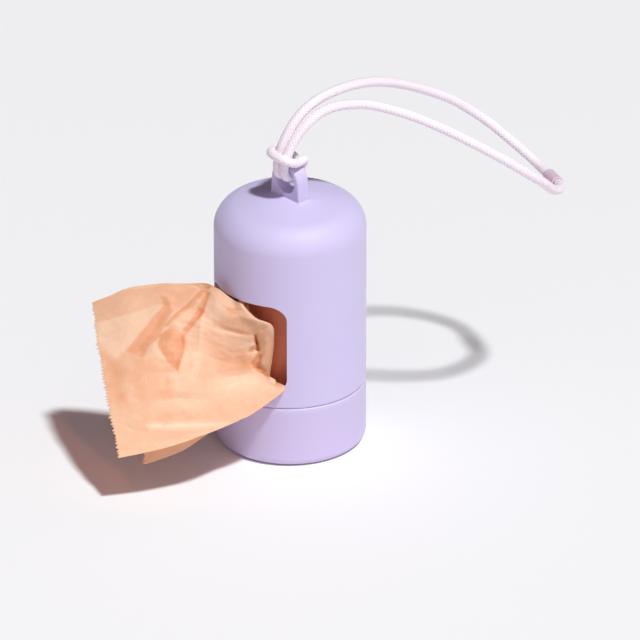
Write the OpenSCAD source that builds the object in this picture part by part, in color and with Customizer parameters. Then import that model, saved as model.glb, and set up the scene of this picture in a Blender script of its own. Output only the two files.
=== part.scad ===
// Dispenser for a roll of dog waste bags, standing on its screw cap, in millimetres.
// +Z is up and the origin is the middle of the cap's underside, on the floor.
// The window looks along -Y. The eye of the lug also runs along Y.
// A girth-hitched cord loop hangs the dispenser from a lead or a belt.

/* [Body] */
// Outside diameter of the shell and of the cap
body_d = 45; // [43:0.5:56]
// Wall thickness of the shell, and of the cap's lower part
wall = 2; // [1.6:0.1:2.4]
// Height of the crown's middle above the floor
body_h = 78.7; // [76:0.1:96]
// Radius of the rounded shoulder
shoulder_r = 8.3; // [5:0.1:11]
// Rise of the crown between the shoulder and its middle
crown_rise = 1.8; // [0.8:0.1:4]

/* [Screw cap] */
// Height of the cap's outside, up to the parting line
cap_h = 19.3; // [17:0.1:24]
// Thickness of the cap's floor
floor_t = 2.2; // [1.6:0.1:3]
// Radius of the cap's bottom edge
foot_r = 2.5; // [1:0.1:4]
// Height of the screw neck above the parting line
neck_h = 4.7; // [3.5:0.1:7]
// Wall thickness of the screw neck
neck_wall = 1.85; // [1.4:0.05:2.2]
// Radial clearance between the neck and the shell's bore
neck_gap = 0.15; // [0.1:0.05:0.4]
// Chamfer on both edges of the parting line
parting_chamfer = 0.35; // [0.1:0.05:0.8]
// Height of the open joint between the cap and the shell
parting_gap = 0.1; // [0.05:0.05:0.4]

/* [Window] */
// Width of the window, measured straight across
window_w = 30.1; // [24:0.1:34]
// Height of the window
window_h = 27.9; // [22:0.1:34]
// Corner radius of the window
window_r = 4.3; // [2:0.1:8]
// Height of shell wall between the neck's top and the window's sill
sill_gap = 0.5; // [0.3:0.1:6]

/* [Lug] */
// Width of the lug at its foot
lug_w = 12.4; // [11:0.1:16]
// Thickness of the lug
lug_t = 4.5; // [3.5:0.1:6]
// Height of the eye's centre above the crown
eye_up = 5.6; // [5:0.1:8]
// Diameter of the eye
eye_d = 6.6; // [5.5:0.1:8]
// Wall round the eye
eye_wall = 1.8; // [1.4:0.1:3]
// Rounding of the lug's edges
lug_round = 0.8; // [0.3:0.1:1.4]
// Chamfer on both rims of the eye
eye_chamfer = 0.6; // [0.2:0.1:1]

/* [Roll of bags] */
// Length of the roll, which is also the width of the folded film
roll_len = 60; // [50:1:64]
// Outside diameter of the roll
roll_d = 31; // [26:0.5:33]
// Outside diameter of the paper core
core_d = 15; // [12:0.5:18]
// Wall thickness of the paper core
core_wall = 1.2; // [0.8:0.1:2]
// Radial clearance between the core and the roll
core_gap = 0.1; // [0.05:0.05:0.4]
// Gap between the cap's floor and what stands on it
seat_gap = 0.3; // [0.1:0.1:0.6]
// Thickness that stands for the thin film of each ply
film_t = 0.6; // [0.4:0.1:0.8]
// Gap between the film and the roll that it leaves
film_gap = 0.8; // [0.2:0.05:1]
// How far the first bag's torn end stands out in front of the shell
film_reach = 45.5; // [42:0.5:47]

/* [Cord] */
// Diameter of the cord where it runs free
cord_d = 3; // [2.6:0.1:3.2]
// Diameter of the cord where the hitch squeezes it
hitch_d = 2.7; // [2.4:0.1:2.8]
// Length of the sleeve that joins the cord's two ends
sleeve_len = 8; // [5:0.5:10]
// Wall thickness of the sleeve
sleeve_wall = 0.45; // [0.3:0.05:0.8]
// Radial clearance between the cord and the sleeve
sleeve_gap = 0.05; // [0.02:0.01:0.2]

/* [Hidden] */

// Facets on the shapes that are round all the way
$fn = 96;
// Overshoot of a cut past the face that it opens
cut = 1;

lilac = "#d7cdf0";
peach = "#f6ca9e";
deep_orange = "#c8764a";
paper = "#c9b49a";
pale_cord = "#f3e6f0";
pink_sleeve = "#e0c1d9";

body_r = body_d / 2;
bore_r = body_r - wall;
neck_r = bore_r - neck_gap;
neck_in_r = neck_r - neck_wall;
neck_top = cap_h + neck_h;
shell_rim = cap_h + parting_gap;
sill_z = neck_top + sill_gap;
roll_r = roll_d / 2;
core_r = core_d / 2;
seat_z = floor_t + seat_gap;

// The shoulder's arc touches the wall, and the crown's larger arc touches the shoulder's.
shoulder_x = body_r - shoulder_r;
shoulder_z = body_h - crown_rise - shoulder_r;
crown_r = (pow(shoulder_x, 2) + pow(crown_rise, 2) + 2 * crown_rise * shoulder_r) / (2 * crown_rise);
crown_z = body_h - crown_r;
meet_angle = atan2(shoulder_z - crown_z, shoulder_x);

// Points of an arc about c, from angle a to angle b, in n steps.
function arc(c, r, a, b, n) = [
    for (i = [0:n]) let (t = a + (b - a) * i / n) [c[0] + r * cos(t), c[1] + r * sin(t)]
];

// The half outline of the domed shell, set in from the outside by inset.
function dome(inset) = concat(
    arc([shoulder_x, shoulder_z], shoulder_r - inset, 0, meet_angle, 14),
    arc([0, crown_z], crown_r - inset, meet_angle, 90, 8)
);

module dome_outside() {
    rotate_extrude()
        polygon(concat(
            [[0, shell_rim], [body_r - parting_chamfer, shell_rim], [body_r, shell_rim + parting_chamfer]],
            dome(0)
        ));
}

module dome_inside() {
    rotate_extrude()
        polygon(concat([[0, shell_rim - cut], [bore_r, shell_rim - cut]], dome(wall)));
    // Lead-in for the thread
    translate([0, 0, shell_rim - cut])
        cylinder(h = cut + parting_chamfer, r1 = bore_r + parting_chamfer + cut, r2 = bore_r);
}

// A flat outline with round corners, w wide and h high, with its lower edge on y = 0.
module round_window(w, h, r) {
    translate([-w / 2 + r, 0]) square([w - 2 * r, h]);
    translate([-w / 2, r]) square([w, h - 2 * r]);
    for (x = [-1, 1])
        for (y = [r, h - r])
            translate([x * (w / 2 - r), y]) circle(r = r);
}

// The mould's side core draws straight out along -Y, so the window's sides are parallel.
module window_cut() {
    translate([0, 0, sill_z])
        rotate([90, 0, 0])
            linear_extrude(height = body_r + cut)
                round_window(window_w, window_h, window_r);
}

// A rod along Y with rounded ends, r in radius, for the corners of the lug.
module lug_rod(r) {
    round_r = min(lug_round, r * 0.9);
    rotate([90, 0, 0])
        for (side = [-1, 1])
            translate([0, 0, side * (lug_t / 2 - round_r)])
                rotate_extrude($fn = 48)
                    intersection() {
                        translate([0, -round_r]) square([r, 2 * round_r]);
                        union() {
                            translate([r - round_r, 0]) circle(r = round_r, $fn = 20);
                            translate([0, -round_r]) square([r - round_r, 2 * round_r]);
                        }
                    }
}

// The lug is one plate whose sides run from its foot up to the round wall of the eye.
module lug() {
    foot_z = body_h - crown_rise - wall / 2;
    hull() {
        translate([0, 0, body_h + eye_up]) lug_rod(eye_d / 2 + eye_wall);
        for (side = [-1, 1])
            translate([side * (lug_w / 2 - lug_round), 0, foot_z + lug_round]) lug_rod(lug_round);
    }
    // Small fillet where the plate grows out of the crown
    hull() {
        translate([0, 0, body_h - crown_rise / 2])
            cube([lug_w + 2 * lug_round, lug_t + 2 * lug_round, crown_rise / 2], center = true);
        translate([0, 0, body_h + lug_round / 4])
            cube([lug_w, lug_t, lug_round], center = true);
    }
}

module eye_cut() {
    translate([0, 0, body_h + eye_up])
        rotate([90, 0, 0]) {
            cylinder(h = lug_t + 2 * cut, r = eye_d / 2, center = true);
            for (side = [0, 1])
                mirror([0, 0, side])
                    translate([0, 0, lug_t / 2 - eye_chamfer])
                        cylinder(
                            h = eye_chamfer + cut,
                            r1 = eye_d / 2,
                            r2 = eye_d / 2 + eye_chamfer + cut
                        );
        }
}

// Moulded in one piece: domed wall, window, lug and the bore that the cap's neck screws into.
module shell() {
    color(lilac)
        difference() {
            union() {
                dome_outside();
                lug();
            }
            dome_inside();
            window_cut();
            eye_cut();
        }
}

// Cup with a rounded foot. Its wall thickens inwards below the neck that screws into the shell.
module base_cap() {
    thick_z = cap_h - parting_gap - 2 * wall + floor_t / 2;
    taper = bore_r - neck_in_r;
    inside_r = max(foot_r - wall, wall / 4);
    color(lilac)
        rotate_extrude()
            polygon(concat(
                [[0, 0]],
                arc([body_r - foot_r, foot_r], foot_r, -90, 0, 10),
                [
                    [body_r, cap_h - parting_chamfer],
                    [body_r - parting_chamfer, cap_h],
                    [neck_r, cap_h],
                    [neck_r, neck_top - parting_chamfer],
                    [neck_r - parting_chamfer, neck_top],
                    [neck_in_r, neck_top],
                    [neck_in_r, thick_z],
                    [bore_r, thick_z - taper]
                ],
                arc([bore_r - inside_r, floor_t + inside_r], inside_r, 0, -90, 6),
                [[0, floor_t]]
            ));
}

// Spiral-wound paper tube that stands on the cap's floor.
module roll_core() {
    color(paper)
        translate([0, 0, seat_z])
            difference() {
                cylinder(h = roll_len, r = core_r);
                translate([0, 0, -cut]) cylinder(h = roll_len + 2 * cut, r = core_r - core_wall);
            }
}

// The wound film, which turns as a bag is drawn off.
module bag_roll() {
    color(deep_orange)
        translate([0, 0, seat_z])
            difference() {
                cylinder(h = roll_len, r = roll_r);
                translate([0, 0, -cut]) cylinder(h = roll_len + 2 * cut, r = core_r + core_gap);
            }
}

// Uniform cubic through four points, at t from 0 at b to 1 at c.
function through(a, b, c, d, t) =
    b + t * ((c - a) + t * ((2 * a - 5 * b + 4 * c - d) + t * (3 * b - a - 3 * c + d))) / 2;

// A smooth line through all the points p, at t from 0 to 1.
function smooth(p, t) =
    let (
        n = len(p) - 1,
        i = min(floor(t * n), n - 1),
        a = p[max(i - 1, 0)],
        b = p[i],
        c = p[i + 1],
        d = p[min(i + 2, n)]
    )
    through(a, b, c, d, t * n - i);

// The first bag is a flat tube of film with a front and a back ply, joined along its folded
// upper edge. It leaves the roll, runs out through the window and ends along a torn edge.
// Each row below goes from the upper edge to the lower edge, and belongs to a front and a
// back ply in turn.
film_r = roll_r + film_gap + film_t / 2;

// A row on the roll: angles from -Y towards +X, and parts of the window's height.
function on_roll(angles, heights) = [
    for (i = [0:3])
        [film_r * sin(angles[i]), -film_r * cos(angles[i]), sill_z + window_h * heights[i]]
];

// A row in the window: parts of its half width and of its height, and how far each place
// stands out of the shell's surface.
function in_window(places) = [
    for (p = places)
        let (x = p[0] * window_w / 2, r = body_r + p[2])
        [x, -sqrt(r * r - x * x), sill_z + window_h * p[1]]
];

// Rows outside the shell, as parts of the film's reach from the middle of the opening.
window_mid = [0, -body_r, sill_z + window_h / 2];
function outside(rows) = [for (row = rows) [for (p = row) window_mid + p * film_reach]];

front_rows = concat(
    [
        on_roll([-26, -9, 16, 46], [0.93, 0.67, 0.38, 0.13]),
        in_window([[-0.5, 0.93, -1], [-0.2, 0.66, -1], [0.28, 0.37, -1], [0.9, 0.13, -1]])
    ],
    outside([
        [[-0.178, -0.108, 0.368], [-0.048, -0.169, 0.118], [0.081, -0.189, -0.113], [0.257, -0.209, -0.397]],
        [[-0.49, -0.257, 0.311], [-0.264, -0.385, 0.162], [-0.026, -0.466, -0.102], [0.224, -0.488, -0.414]],
        [[-0.853, -0.468, 0.144], [-0.571, -0.686, -0.001], [-0.299, -0.864, -0.219], [-0.062, -1, -0.502]]
    ])
);
back_rows = concat(
    [
        on_roll([-30, -14, 12, 41], [0.89, 0.63, 0.34, 0.07]),
        in_window([[-0.57, 0.885, -1.6], [-0.27, 0.61, -1.6], [0.21, 0.32, -1.6], [0.83, 0.085, -1.6]])
    ],
    outside([
        [[-0.205, -0.085, 0.35], [-0.075, -0.134, 0.089], [0.048, -0.154, -0.137], [0.211, -0.178, -0.386]],
        [[-0.527, -0.213, 0.302], [-0.299, -0.332, 0.122], [-0.055, -0.402, -0.144], [0.189, -0.424, -0.438]],
        [[-0.862, -0.404, 0.122], [-0.589, -0.582, -0.052], [-0.327, -0.727, -0.293], [-0.042, -0.782, -0.625]]
    ])
);
// Direction that the film's front faces, which its thickness is laid along
film_face = [0.57, -0.41, 0.71];
// Direction from the film's middle to its folded upper edge
film_up = [-0.6, 0.35, 0.72];
film_u = 10;
film_v = 7;

// A point of a ply's middle, u from the roll to the torn edge, v from the top edge down.
function ply(rows, u, v) = smooth([for (row = rows) smooth(row, v)], u);

// Section of the bag at u. It runs down the outside of the front ply and back up its inside,
// then down the inside of the back ply and back up its outside.
function bag_section(u) =
    let (half = film_t / 2 * film_face, fold = film_t * film_up, n = film_v)
    concat(
        [for (j = [0:n]) ply(front_rows, u, j / n) + half + (j == 0 ? fold : [0, 0, 0])],
        [for (j = [n:-1:0]) ply(front_rows, u, j / n) - half],
        [for (j = [0:n]) ply(back_rows, u, j / n) + half],
        [for (j = [n:-1:0]) ply(back_rows, u, j / n) - half + (j == 0 ? fold : [0, 0, 0])]
    );

module lead_bag() {
    w = 4 * (film_v + 1);
    last = film_u * w;
    points = [for (i = [0:film_u]) each bag_section(i / film_u)];
    // Two triangles of a square of the grid, clockwise as seen from outside
    function quad(a, b, c, d) = [[a, c, d], [a, b, c]];
    skin = [
        for (i = [0:film_u - 1])
            for (k = [0:w - 1])
                let (m = (k + 1) % w)
                each quad(i * w + k, i * w + m, (i + 1) * w + m, (i + 1) * w + k)
    ];
    // The squares that close one end, from point p of the grid on
    function end(p) = [
        for (j = [0:film_v - 1])
            for (k = [0, 2 * film_v + 2])
                [p + k + j, p + k + j + 1, p + k + 2 * film_v - j, p + k + 2 * film_v + 1 - j],
        [p, p + 2 * film_v + 1, p + 2 * film_v + 2, p + w - 1]
    ];
    ends = concat(
        [for (q = end(0)) each quad(q[3], q[2], q[1], q[0])],
        [for (q = end(last)) each quad(q[0], q[1], q[2], q[3])]
    );
    color(peach) polyhedron(points = points, faces = concat(skin, ends));
}

// The sleeve's middle and the direction of the straight cord in it
sleeve_mid = [31.8, 79, 67.4];
sleeve_way = [9.6, -4.9, 1.2] / norm([9.6, -4.9, 1.2]);
// Gap between the cord's two cut ends inside the sleeve
end_gap = 0.2;

// From the sleeve round the tip of the loop and back to the lug: the nearer strand.
near_strand = [
    [36.6, 76.6, 68],
    [40.5, 72, 69.5],
    [42.5, 67, 72],
    [44.5, 61.5, 76.5],
    [44.5, 54, 82.5],
    [41.5, 47.5, 88],
    [37.5, 42, 92.5],
    [33.5, 37.5, 96],
    [28.5, 33.5, 99],
    [21.5, 27, 103],
    [17, 22.5, 105],
    [13, 19, 106],
    [9.5, 15.5, 106],
    [6.5, 11.5, 105.5],
    [4.5, 7.5, 104],
    [3.4, 3.8, 101.6],
    [2.2, 0.8, 98.3],
    [1.6, -1.1, 95.2]
];
// The girth hitch: down the front, through the eye, up the back, over the lug, across in
// front of both strands, and the same way back on the other side.
hitch = [
    [1.4, -2.1, 93.4],
    [1.4, -2.8, 92],
    [1.4, -3.4, 90.6],
    [1.4, -3.75, 89.2],
    [1.4, -3.75, 87.9],
    [1.4, -3.4, 86.6],
    [1.4, -2.4, 85.7],
    [1.4, -1, 85.4],
    [1.4, 1, 85.4],
    [1.4, 2.4, 85.7],
    [1.4, 3.4, 86.6],
    [1.5, 3.75, 87.9],
    [2, 3.7, 89.1],
    [2.7, 2.9, 90.1],
    [3.2, 1.4, 90.3],
    [3.6, -0.6, 90.4],
    [4.05, -2.2, 91],
    [4.1, -3.7, 91.8],
    [3.1, -4.9, 92.4],
    [1.4, -5.4, 92.8],
    [0, -5.5, 92.9],
    [-1.5, -5.35, 93],
    [-3, -4.8, 93],
    [-4.05, -3.4, 92.8],
    [-4.1, -1.8, 92],
    [-3.7, -0.3, 91],
    [-3.2, 1.3, 90.4],
    [-2.7, 2.9, 90.1],
    [-2, 3.7, 89.1],
    [-1.5, 3.75, 87.9],
    [-1.4, 3.4, 86.6],
    [-1.4, 2.4, 85.7],
    [-1.4, 1, 85.4],
    [-1.4, -1, 85.4],
    [-1.4, -2.4, 85.7],
    [-1.4, -3.4, 86.6],
    [-1.4, -3.75, 87.9],
    [-1.4, -3.75, 89.2],
    [-1.4, -3.4, 90.6],
    [-1.4, -2.8, 92],
    [-1.4, -2.3, 93.4]
];
// From the lug back to the sleeve: the farther strand.
far_strand = [
    [-1.2, -1.8, 95.2],
    [-0.7, -0.4, 98.2],
    [0, 1.8, 101.6],
    [0.8, 5.2, 104.7],
    [1.3, 9.8, 106.5],
    [1.6, 17.5, 107.2],
    [1.2, 25.5, 106.3],
    [0.3, 33.5, 104.2],
    [-0.5, 42, 101],
    [-0.9, 51, 96.7],
    [-0.6, 60, 91.8],
    [1, 68, 86.8],
    [3.2, 74, 81.8],
    [6.3, 78.2, 77.6],
    [10.2, 81.2, 73.5],
    [14.8, 83.2, 70],
    [20.5, 83.6, 67.4],
    [27, 81.5, 66.8]
];
cord_route = concat(
    [sleeve_mid + sleeve_way * end_gap / 2],
    near_strand,
    hitch,
    far_strand,
    [sleeve_mid - sleeve_way * end_gap / 2]
);
cord_sides = 8;
// Points at each end of the hitch that lie clear of the lug
clear_points = 3;
// The first and the last point of the route at which the hitch squeezes the cord
squeezed = [
    len(near_strand) + clear_points,
    len(near_strand) + len(hitch) - clear_points + 1
];

function unit(v) = v / norm(v);

// Direction of the route at point i, half way between the legs on both sides.
function heading(p, i) =
    let (
        into = i > 0 ? unit(p[i] - p[i - 1]) : unit(p[1] - p[0]),
        out = i < len(p) - 1 ? unit(p[i + 1] - p[i]) : into
    )
    unit(into + out);

// A side direction for every point, each one the last turned as little as possible.
function sides(p, i, last) =
    i == len(p)
        ? []
        : let (h = heading(p, i), s = unit(last - h * (last * h)))
        concat([s], sides(p, i + 1, s));

// One ring of the tube, r in radius, about point c, square to h.
function ring(c, h, s, r, n) = [
    for (k = [0:n - 1]) c + r * (cos(360 * k / n) * s + sin(360 * k / n) * cross(h, s))
];

module cord_tube(p, n) {
    side = sides(p, 0, [0, 0, 1]);
    points = [
        for (i = [0:len(p) - 1])
            each ring(
                p[i],
                heading(p, i),
                side[i],
                (i < squeezed[0] || i > squeezed[1] ? cord_d : hitch_d) / 2,
                n
            )
    ];
    last = (len(p) - 1) * n;
    skin = [
        for (i = [0:len(p) - 2])
            for (k = [0:n - 1])
                let (a = i * n + k, b = i * n + (k + 1) % n)
                each [[a, a + n, b + n], [a, b + n, b]]
    ];
    start = [for (k = [1:n - 2]) [0, k, k + 1]];
    end = [for (k = [1:n - 2]) [last, last + k + 1, last + k]];
    polyhedron(points = points, faces = concat(skin, start, end));
}

module cord_loop() {
    color(pale_cord) cord_tube(cord_route, cord_sides);
}

// Crimped sleeve round the straight stretch where the cord's two ends meet.
module cord_sleeve() {
    bore = cord_d / 2 + sleeve_gap;
    turn = [0, acos(sleeve_way[2]), atan2(sleeve_way[1], sleeve_way[0])];
    color(pink_sleeve)
        translate(sleeve_mid)
            rotate(turn)
                difference() {
                    cylinder(h = sleeve_len, r = bore + sleeve_wall, center = true);
                    cylinder(h = sleeve_len + 2 * cut, r = bore, center = true);
                }
}

shell();
base_cap();
roll_core();
bag_roll();
lead_bag();
cord_loop();
cord_sleeve();
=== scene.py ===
"""A dispenser for rolls of dog waste bags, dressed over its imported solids.

All places are worked out in millimetres in the frame of the solids: +Z is up, the origin
is the middle of the underside, and the window looks along -Y. Angles round the body start
at -Y and grow towards +X.
"""

import bmesh
import bpy
import numpy as np
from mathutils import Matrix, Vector


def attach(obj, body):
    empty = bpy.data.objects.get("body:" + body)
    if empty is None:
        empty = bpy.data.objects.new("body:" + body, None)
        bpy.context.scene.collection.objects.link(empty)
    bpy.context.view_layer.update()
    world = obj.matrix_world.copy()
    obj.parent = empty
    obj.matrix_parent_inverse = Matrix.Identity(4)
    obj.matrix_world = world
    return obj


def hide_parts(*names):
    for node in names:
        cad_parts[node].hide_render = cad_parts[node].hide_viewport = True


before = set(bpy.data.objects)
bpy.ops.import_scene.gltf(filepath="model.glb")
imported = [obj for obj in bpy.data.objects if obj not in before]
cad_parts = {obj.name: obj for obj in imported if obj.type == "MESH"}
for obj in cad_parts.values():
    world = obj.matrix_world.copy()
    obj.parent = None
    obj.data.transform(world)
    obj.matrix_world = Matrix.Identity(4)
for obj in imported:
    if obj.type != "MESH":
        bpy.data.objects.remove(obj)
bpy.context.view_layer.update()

# ---------------------------------------------------------------- Table, light and camera
# The dispenser stands on a pale seamless table under one studio lamp high on the right,
# with warm white walls all round that fill the shadows.

scene = bpy.context.scene
scene.view_settings.view_transform = "Standard"


def shade(red, green, blue):
    """The colour whose screen values, 0 to 255, are given, in linear light."""
    c = np.array([red, green, blue]) / 255
    linear = np.where(c <= 0.04045, c / 12.92, ((c + 0.055) / 1.055) ** 2.4)
    return (*linear.tolist(), 1.0)


def add(tree, kind, wires=(), **settings):
    """One new node: settings are its own, and wires gives each input a value or a source."""
    node = tree.nodes.new("ShaderNode" + kind)
    for name, value in settings.items():
        setattr(node, name, value)
    for name, value in dict(wires).items():
        if isinstance(value, bpy.types.NodeSocket):
            tree.links.new(value, node.inputs[name])
        else:
            node.inputs[name].default_value = value
    return node


def calc(tree, operation, *values):
    """The result of a Math node on numbers or sources."""
    return add(tree, "Math", dict(enumerate(values)), operation=operation).outputs[0]


def spot(tree):
    """The place on the piece itself, in metres from its origin."""
    return add(tree, "TexCoord").outputs["Object"]


def noise(tree, place, scale, detail=2.0):
    """The value of a Noise Texture at the place, with scale waves to the metre."""
    wires = {"Vector": place, "Scale": scale, "Detail": detail}
    return add(tree, "TexNoise", wires).outputs["Fac"]


def finish_of(name, **constants):
    """A new material with a Principled shader, whose constant sockets are set here."""
    material = bpy.data.materials.new(name)
    material.use_nodes = True
    tree = material.node_tree
    shader = tree.nodes["Principled BSDF"]
    for socket, value in constants.items():
        shader.inputs[socket.replace("_", " ")].default_value = value
    return material, tree, shader


def tinted(tree, shader, factor, deep, pale):
    """Gives the shader the blend of two colours, from deep at 0 to pale at 1."""
    tone = add(tree, "Mix", {"Factor": factor}, data_type="RGBA")
    tone.inputs["A"].default_value, tone.inputs["B"].default_value = deep, pale
    tree.links.new(tone.outputs["Result"], shader.inputs["Base Color"])


def grid_mesh(name, patches, material, sharp=None):
    """An object made of patches, each an array of points (i, j, xyz) in millimetres.

    Quad (i, j) joins points (i, j), (i+1, j), (i+1, j+1) and (i, j+1), so that it faces
    along the i direction crossed with the j direction. A patch may come with its places
    on the map (i, j, uv). Points that coincide are welded.
    """
    places, quads, maps, first = [], [], [], 0
    for patch in patches:
        points, uv = patch if isinstance(patch, tuple) else (patch, None)
        rows, columns = points.shape[:2]
        if uv is None:
            uv = np.stack(np.meshgrid(np.arange(rows), np.arange(columns), indexing="ij"), -1)
        a = first + np.arange(rows * columns).reshape(rows, columns)
        quads.append(np.stack([a[:-1, :-1], a[1:, :-1], a[1:, 1:], a[:-1, 1:]], -1))
        quads[-1] = quads[-1].reshape(-1, 4)
        places.append(points.reshape(-1, 3) * 0.001)
        maps.append(uv.reshape(-1, 2))
        first += rows * columns
    places, quads, maps = np.concatenate(places), np.concatenate(quads), np.concatenate(maps)
    mesh = bpy.data.meshes.new(name)
    mesh.vertices.add(len(places))
    mesh.vertices.foreach_set("co", places.ravel())
    mesh.loops.add(quads.size)
    mesh.loops.foreach_set("vertex_index", quads.ravel())
    mesh.polygons.add(len(quads))
    mesh.polygons.foreach_set("loop_start", np.arange(0, quads.size, 4))
    layer = mesh.uv_layers.new(name="map")
    layer.data.foreach_set("uv", maps[quads.ravel()].ravel())
    mesh.update(calc_edges=True)
    work = bmesh.new()
    work.from_mesh(mesh)
    bmesh.ops.remove_doubles(work, verts=work.verts, dist=1e-6)
    work.to_mesh(mesh)
    work.free()
    mesh.validate()
    mesh.shade_smooth()
    if sharp is not None:
        mesh.set_sharp_from_angle(angle=np.radians(sharp))
    mesh.materials.append(material)
    piece = bpy.data.objects.new(name, mesh)
    scene.collection.objects.link(piece)
    return piece


# The camera stands 2.4 m off at 27 degrees above the table, half way between the window's
# way and the right side, and its field there is 189.4 mm wide.
aim, distance, field_w = np.array([6.215, 6.215, 37.37]), 2400, 189.4
towards = np.array([0.630, -0.630, 0.454])
towards = towards / np.linalg.norm(towards)
lens = bpy.data.cameras.new("camera")
lens.sensor_width = 36
lens.lens = lens.sensor_width * distance / field_w
lens.clip_end = 20
camera = bpy.data.objects.new("camera", lens)
camera.location = Vector((aim + distance * towards) * 0.001)
camera.rotation_euler = Vector(towards).to_track_quat("Z", "Y").to_euler()
scene.collection.objects.link(camera)
scene.camera = camera

lamp = bpy.data.lights.new("lamp", "SUN")
lamp.energy = 2.9
lamp.angle = np.radians(5.2)
lamp.color = (0.965, 1.0, 0.995)
lamp_object = bpy.data.objects.new("lamp", lamp)
lamp_object.rotation_euler = Vector((0.495, -0.017, 1.0)).to_track_quat("Z", "Y").to_euler()
scene.collection.objects.link(lamp_object)

# Warm white walls fill the shadows gently, most of all from in front, on the right. Shiny
# things see them brighter than that, and the eye sees them all alike and plain.
scene.world = bpy.data.worlds.new("walls")
scene.world.use_nodes = True
walls = scene.world.node_tree
walls.nodes.clear()
ray = add(walls, "LightPath")
seen = calc(walls, "MAXIMUM", ray.outputs["Is Camera Ray"], ray.outputs["Is Transmission Ray"])
heading = add(walls, "TexCoord").outputs["Generated"]
way = add(walls, "VectorMath", {0: heading, 1: (0.71, -0.63, 0.30)}, operation="DOT_PRODUCT")
fill = calc(walls, "MULTIPLY_ADD", calc(walls, "MAXIMUM", way.outputs["Value"], 0.0), 0.57, 0.02)
shine = calc(walls, "MULTIPLY_ADD", ray.outputs["Is Glossy Ray"], 0.9, 1.0)
fill = calc(walls, "MULTIPLY", fill, shine)
lighting = add(walls, "Background", {"Color": (0.95, 0.80, 0.84, 1.0), "Strength": fill})
backdrop = add(walls, "Background", {"Color": (0.97, 0.975, 1.0, 1.0), "Strength": 0.88})
sky = add(walls, "MixShader", {0: seen, 1: lighting.outputs[0], 2: backdrop.outputs[0]})
walls.links.new(sky.outputs[0], add(walls, "OutputWorld").inputs["Surface"])

# Painted table top, coloured a little paler near the eye than behind: painted light, as the top
# lies brighter towards the front.
paint, tree, shader = finish_of("table_paint", Roughness=0.85, Specular_IOR_Level=0.15)
place = spot(tree)
cloudy = noise(tree, place, 9.0)
apart = add(tree, "SeparateXYZ", {"Vector": place})
nearer = calc(tree, "SUBTRACT", apart.outputs["X"], apart.outputs["Y"])
level = calc(tree, "MULTIPLY_ADD", nearer, 1.6, 0.5)
level = calc(tree, "MULTIPLY_ADD", cloudy, 0.1, level)
tinted(tree, shader, level, shade(240, 240, 242), shade(247, 246, 248))
table_half, table_z = 3000, -0.02
side = np.linspace(-table_half, table_half, 25)
table_points = np.stack(np.meshgrid(side, side, [table_z], indexing="ij"), -1)[:, :, 0]
table = grid_mesh("table", [table_points], paint)

# ------------------------------------------------------------------------- Braided cord
# One 3 mm polyester cord, braided from sixteen yarns. Both cut ends meet in the sleeve,
# and the closed loop is hitched through the lug. It is stiff enough to stand out.

cord_d, hitch_d, cord_length = 3.0, 2.7, 307.0
# Points on the middle line of the cord, from the sleeve all the way round to it
route = np.array([
    31.89, 78.96, 67.41, 36.6, 76.6, 68, 40.5, 72, 69.5, 42.5, 67, 72, 44.5, 61.5, 76.5, 44.5,
    54, 82.5, 41.5, 47.5, 88, 37.5, 42, 92.5, 33.5, 37.5, 96, 28.5, 33.5, 99, 21.5, 27, 103, 17,
    22.5, 105, 13, 19, 106, 9.5, 15.5, 106, 6.5, 11.5, 105.5, 4.5, 7.5, 104, 3.4, 3.8, 101.6,
    2.2, 0.8, 98.3, 1.6, -1.1, 95.2, 1.4, -2.1, 93.4, 1.4, -2.8, 92, 1.4, -3.4, 90.6, 1.4,
    -3.75, 89.2, 1.4, -3.75, 87.9, 1.4, -3.4, 86.6, 1.4, -2.4, 85.7, 1.4, -1, 85.4, 1.4, 1,
    85.4, 1.4, 2.4, 85.7, 1.4, 3.4, 86.6, 1.5, 3.75, 87.9, 2, 3.7, 89.1, 2.7, 2.9, 90.1, 3.2,
    1.4, 90.3, 3.6, -0.6, 90.4, 4.05, -2.2, 91, 4.1, -3.7, 91.8, 3.1, -4.9, 92.4, 1.4, -5.4,
    92.8, 0, -5.5, 92.9, -1.5, -5.35, 93, -3, -4.8, 93, -4.05, -3.4, 92.8, -4.1, -1.8, 92, -3.7,
    -0.3, 91, -3.2, 1.3, 90.4, -2.7, 2.9, 90.1, -2, 3.7, 89.1, -1.5, 3.75, 87.9, -1.4, 3.4,
    86.6, -1.4, 2.4, 85.7, -1.4, 1, 85.4, -1.4, -1, 85.4, -1.4, -2.4, 85.7, -1.4, -3.4, 86.6,
    -1.4, -3.75, 87.9, -1.4, -3.75, 89.2, -1.4, -3.4, 90.6, -1.4, -2.8, 92, -1.4, -2.3, 93.4,
    -1.2, -1.8, 95.2, -0.7, -0.4, 98.2, 0, 1.8, 101.6, 0.8, 5.2, 104.7, 1.3, 9.8, 106.5, 1.6,
    17.5, 107.2, 1.2, 25.5, 106.3, 0.3, 33.5, 104.2, -0.5, 42, 101, -0.9, 51, 96.7, -0.6, 60,
    91.8, 1, 68, 86.8, 3.2, 74, 81.8, 6.3, 78.2, 77.6, 10.2, 81.2, 73.5, 14.8, 83.2, 70, 20.5,
    83.6, 67.4, 27, 81.5, 66.8, 31.71, 79.04, 67.39,
]).reshape(-1, 3)
squeezed = (21, 57)  # the points between which the hitch squeezes the cord


def run_of(points):
    """How far along the line through the points each of them lies."""
    return np.concatenate([[0], np.cumsum(np.linalg.norm(np.diff(points, axis=0), axis=1))])


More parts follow.
